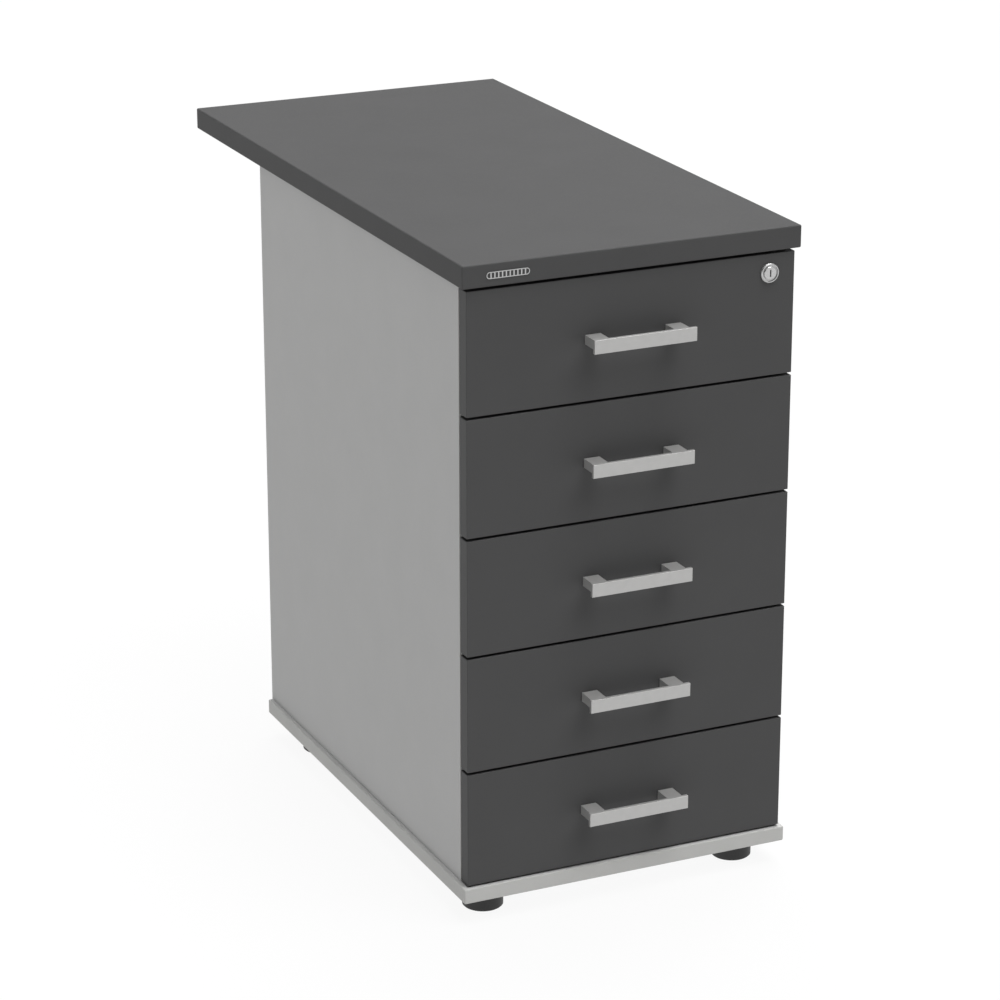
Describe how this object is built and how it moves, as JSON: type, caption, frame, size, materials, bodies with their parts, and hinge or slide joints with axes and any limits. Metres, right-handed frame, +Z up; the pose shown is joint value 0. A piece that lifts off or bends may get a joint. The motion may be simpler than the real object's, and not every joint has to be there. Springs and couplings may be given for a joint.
{
  "type": "drawer pedestal cabinet",
  "caption": "Tall desk-side drawer pedestal with a worktop that overhangs at the back, bar handles, a central lock and round levelling feet.",
  "frame": {"origin": "on the floor, under the middle of the whole object's box (handle fronts to the worktop's rear edge)", "axes": "+X to the user's right as the user faces the drawers, +Y from the drawer fronts to the back, +Z up"},
  "size_m": [0.403, 0.828, 0.758],
  "materials": {
    "dark_melamine": "fine-textured matt melamine face, anthracite grey",
    "dark_edging": "matt plastic edging, anthracite grey",
    "light_melamine": "fine-textured matt melamine face, light grey",
    "drawer_melamine": "smooth matt melamine face, mid grey",
    "light_edging": "matt plastic edging, light grey",
    "satin_nickel": "satin nickel plating, brushed along the bar",
    "lock_chrome": "satin chrome with fine turning marks",
    "zinc_steel": "bright zinc plating on rolled steel",
    "plain_plate": "brushed plate with dark enamel in its sunk field",
    "lock_bar_aluminium": "mill-finish flat bar",
    "black_plastic": "moulded black plastic",
    "grey_plastic": "moulded grey plastic"
  },
  "bodies": {
    "cabinet": {"worktop": "dark_melamine", "worktop_edging": "dark_edging", "badge_plate": "plain_plate", "left_side_panel": "light_melamine", "right_side_panel": "light_melamine", "back_panel": "light_melamine", "base_panel": "light_melamine", "top_rails": "light_melamine", "carcass_edging": "light_edging", "carcass_fasteners": "zinc_steel", "foot_sockets": "zinc_steel", "cabinet_rails": "zinc_steel", "lock_bar_guides": "grey_plastic"},
    "drawer_1": {"drawer_1_front": "dark_melamine", "drawer_1_side_boards": "drawer_melamine", "drawer_1_back_board": "drawer_melamine", "drawer_1_bottom_board": "drawer_melamine", "drawer_1_handle": "satin_nickel", "drawer_1_fasteners": "zinc_steel", "drawer_1_rails": "zinc_steel", "lock_housing": "lock_chrome"},
    "drawer_1_middle": {"drawer_1_middle_rails": "zinc_steel"},
    "drawer_2": {"drawer_2_front": "dark_melamine", "drawer_2_side_boards": "drawer_melamine", "drawer_2_back_board": "drawer_melamine", "drawer_2_bottom_board": "drawer_melamine", "drawer_2_handle": "satin_nickel", "drawer_2_fasteners": "zinc_steel", "drawer_2_rails": "zinc_steel"},
    "drawer_2_middle": {"drawer_2_middle_rails": "zinc_steel"},
    "drawer_3": {"drawer_3_front": "dark_melamine", "drawer_3_side_boards": "drawer_melamine", "drawer_3_back_board": "drawer_melamine", "drawer_3_bottom_board": "drawer_melamine", "drawer_3_handle": "satin_nickel", "drawer_3_fasteners": "zinc_steel", "drawer_3_rails": "zinc_steel"},
    "drawer_3_middle": {"drawer_3_middle_rails": "zinc_steel"},
    "drawer_4": {"drawer_4_front": "dark_melamine", "drawer_4_side_boards": "drawer_melamine", "drawer_4_back_board": "drawer_melamine", "drawer_4_bottom_board": "drawer_melamine", "drawer_4_handle": "satin_nickel", "drawer_4_fasteners": "zinc_steel", "drawer_4_rails": "zinc_steel"},
    "drawer_4_middle": {"drawer_4_middle_rails": "zinc_steel"},
    "drawer_5": {"drawer_5_front": "dark_melamine", "drawer_5_side_boards": "drawer_melamine", "drawer_5_back_board": "drawer_melamine", "drawer_5_bottom_board": "drawer_melamine", "drawer_5_handle": "satin_nickel", "drawer_5_fasteners": "zinc_steel", "drawer_5_rails": "zinc_steel"},
    "drawer_5_middle": {"drawer_5_middle_rails": "zinc_steel"},
    "lock_plug": {"lock_plug": "lock_chrome"},
    "lock_bar": {"lock_bar": "lock_bar_aluminium"},
    "front_left_foot": {"front_left_foot": "black_plastic"},
    "front_right_foot": {"front_right_foot": "black_plastic"},
    "rear_left_foot": {"rear_left_foot": "black_plastic"},
    "rear_right_foot": {"rear_right_foot": "black_plastic"}
  },
  "joints": [
    {"name": "drawer_1_slide", "type": "slide", "parent": "cabinet", "child": "drawer_1", "axis": [0, -1, 0], "range_m": [0, 0.5]},
    {"name": "drawer_1_middle_slide", "type": "slide", "parent": "cabinet", "child": "drawer_1_middle", "axis": [0, -1, 0], "range_m": [0, 0.25]},
    {"name": "drawer_2_slide", "type": "slide", "parent": "cabinet", "child": "drawer_2", "axis": [0, -1, 0], "range_m": [0, 0.5]},
    {"name": "drawer_2_middle_slide", "type": "slide", "parent": "cabinet", "child": "drawer_2_middle", "axis": [0, -1, 0], "range_m": [0, 0.25]},
    {"name": "drawer_3_slide", "type": "slide", "parent": "cabinet", "child": "drawer_3", "axis": [0, -1, 0], "range_m": [0, 0.5]},
    {"name": "drawer_3_middle_slide", "type": "slide", "parent": "cabinet", "child": "drawer_3_middle", "axis": [0, -1, 0], "range_m": [0, 0.25]},
    {"name": "drawer_4_slide", "type": "slide", "parent": "cabinet", "child": "drawer_4", "axis": [0, -1, 0], "range_m": [0, 0.5]},
    {"name": "drawer_4_middle_slide", "type": "slide", "parent": "cabinet", "child": "drawer_4_middle", "axis": [0, -1, 0], "range_m": [0, 0.25]},
    {"name": "drawer_5_slide", "type": "slide", "parent": "cabinet", "child": "drawer_5", "axis": [0, -1, 0], "range_m": [0, 0.5]},
    {"name": "drawer_5_middle_slide", "type": "slide", "parent": "cabinet", "child": "drawer_5_middle", "axis": [0, -1, 0], "range_m": [0, 0.25]},
    {"name": "lock_turn", "type": "hinge", "parent": "drawer_1", "child": "lock_plug", "pos_m": [0.1646, -0.3825, 0.7077], "axis": [0, 1, 0], "range_deg": [0, 90]},
    {"name": "lock_bar_slide", "type": "slide", "parent": "cabinet", "child": "lock_bar", "axis": [0, 0, -1], "range_m": [0, 0.0113]},
    {"name": "front_left_foot_height", "type": "slide", "parent": "cabinet", "child": "front_left_foot", "axis": [0, 0, -1], "range_m": [0, 0.01]},
    {"name": "front_right_foot_height", "type": "slide", "parent": "cabinet", "child": "front_right_foot", "axis": [0, 0, -1], "range_m": [0, 0.01]},
    {"name": "rear_left_foot_height", "type": "slide", "parent": "cabinet", "child": "rear_left_foot", "axis": [0, 0, -1], "range_m": [0, 0.01]},
    {"name": "rear_right_foot_height", "type": "slide", "parent": "cabinet", "child": "rear_right_foot", "axis": [0, 0, -1], "range_m": [0, 0.01]}
  ],
  "couplings": [
    {"joint": "drawer_1_middle_slide", "follows": "drawer_1_slide", "ratio": 0.5},
    {"joint": "drawer_2_middle_slide", "follows": "drawer_2_slide", "ratio": 0.5},
    {"joint": "drawer_3_middle_slide", "follows": "drawer_3_slide", "ratio": 0.5},
    {"joint": "drawer_4_middle_slide", "follows": "drawer_4_slide", "ratio": 0.5},
    {"joint": "drawer_5_middle_slide", "follows": "drawer_5_slide", "ratio": 0.5},
    {"joint": "lock_turn", "follows": "lock_bar_slide", "rad_per_m": 138.8}
  ]
}
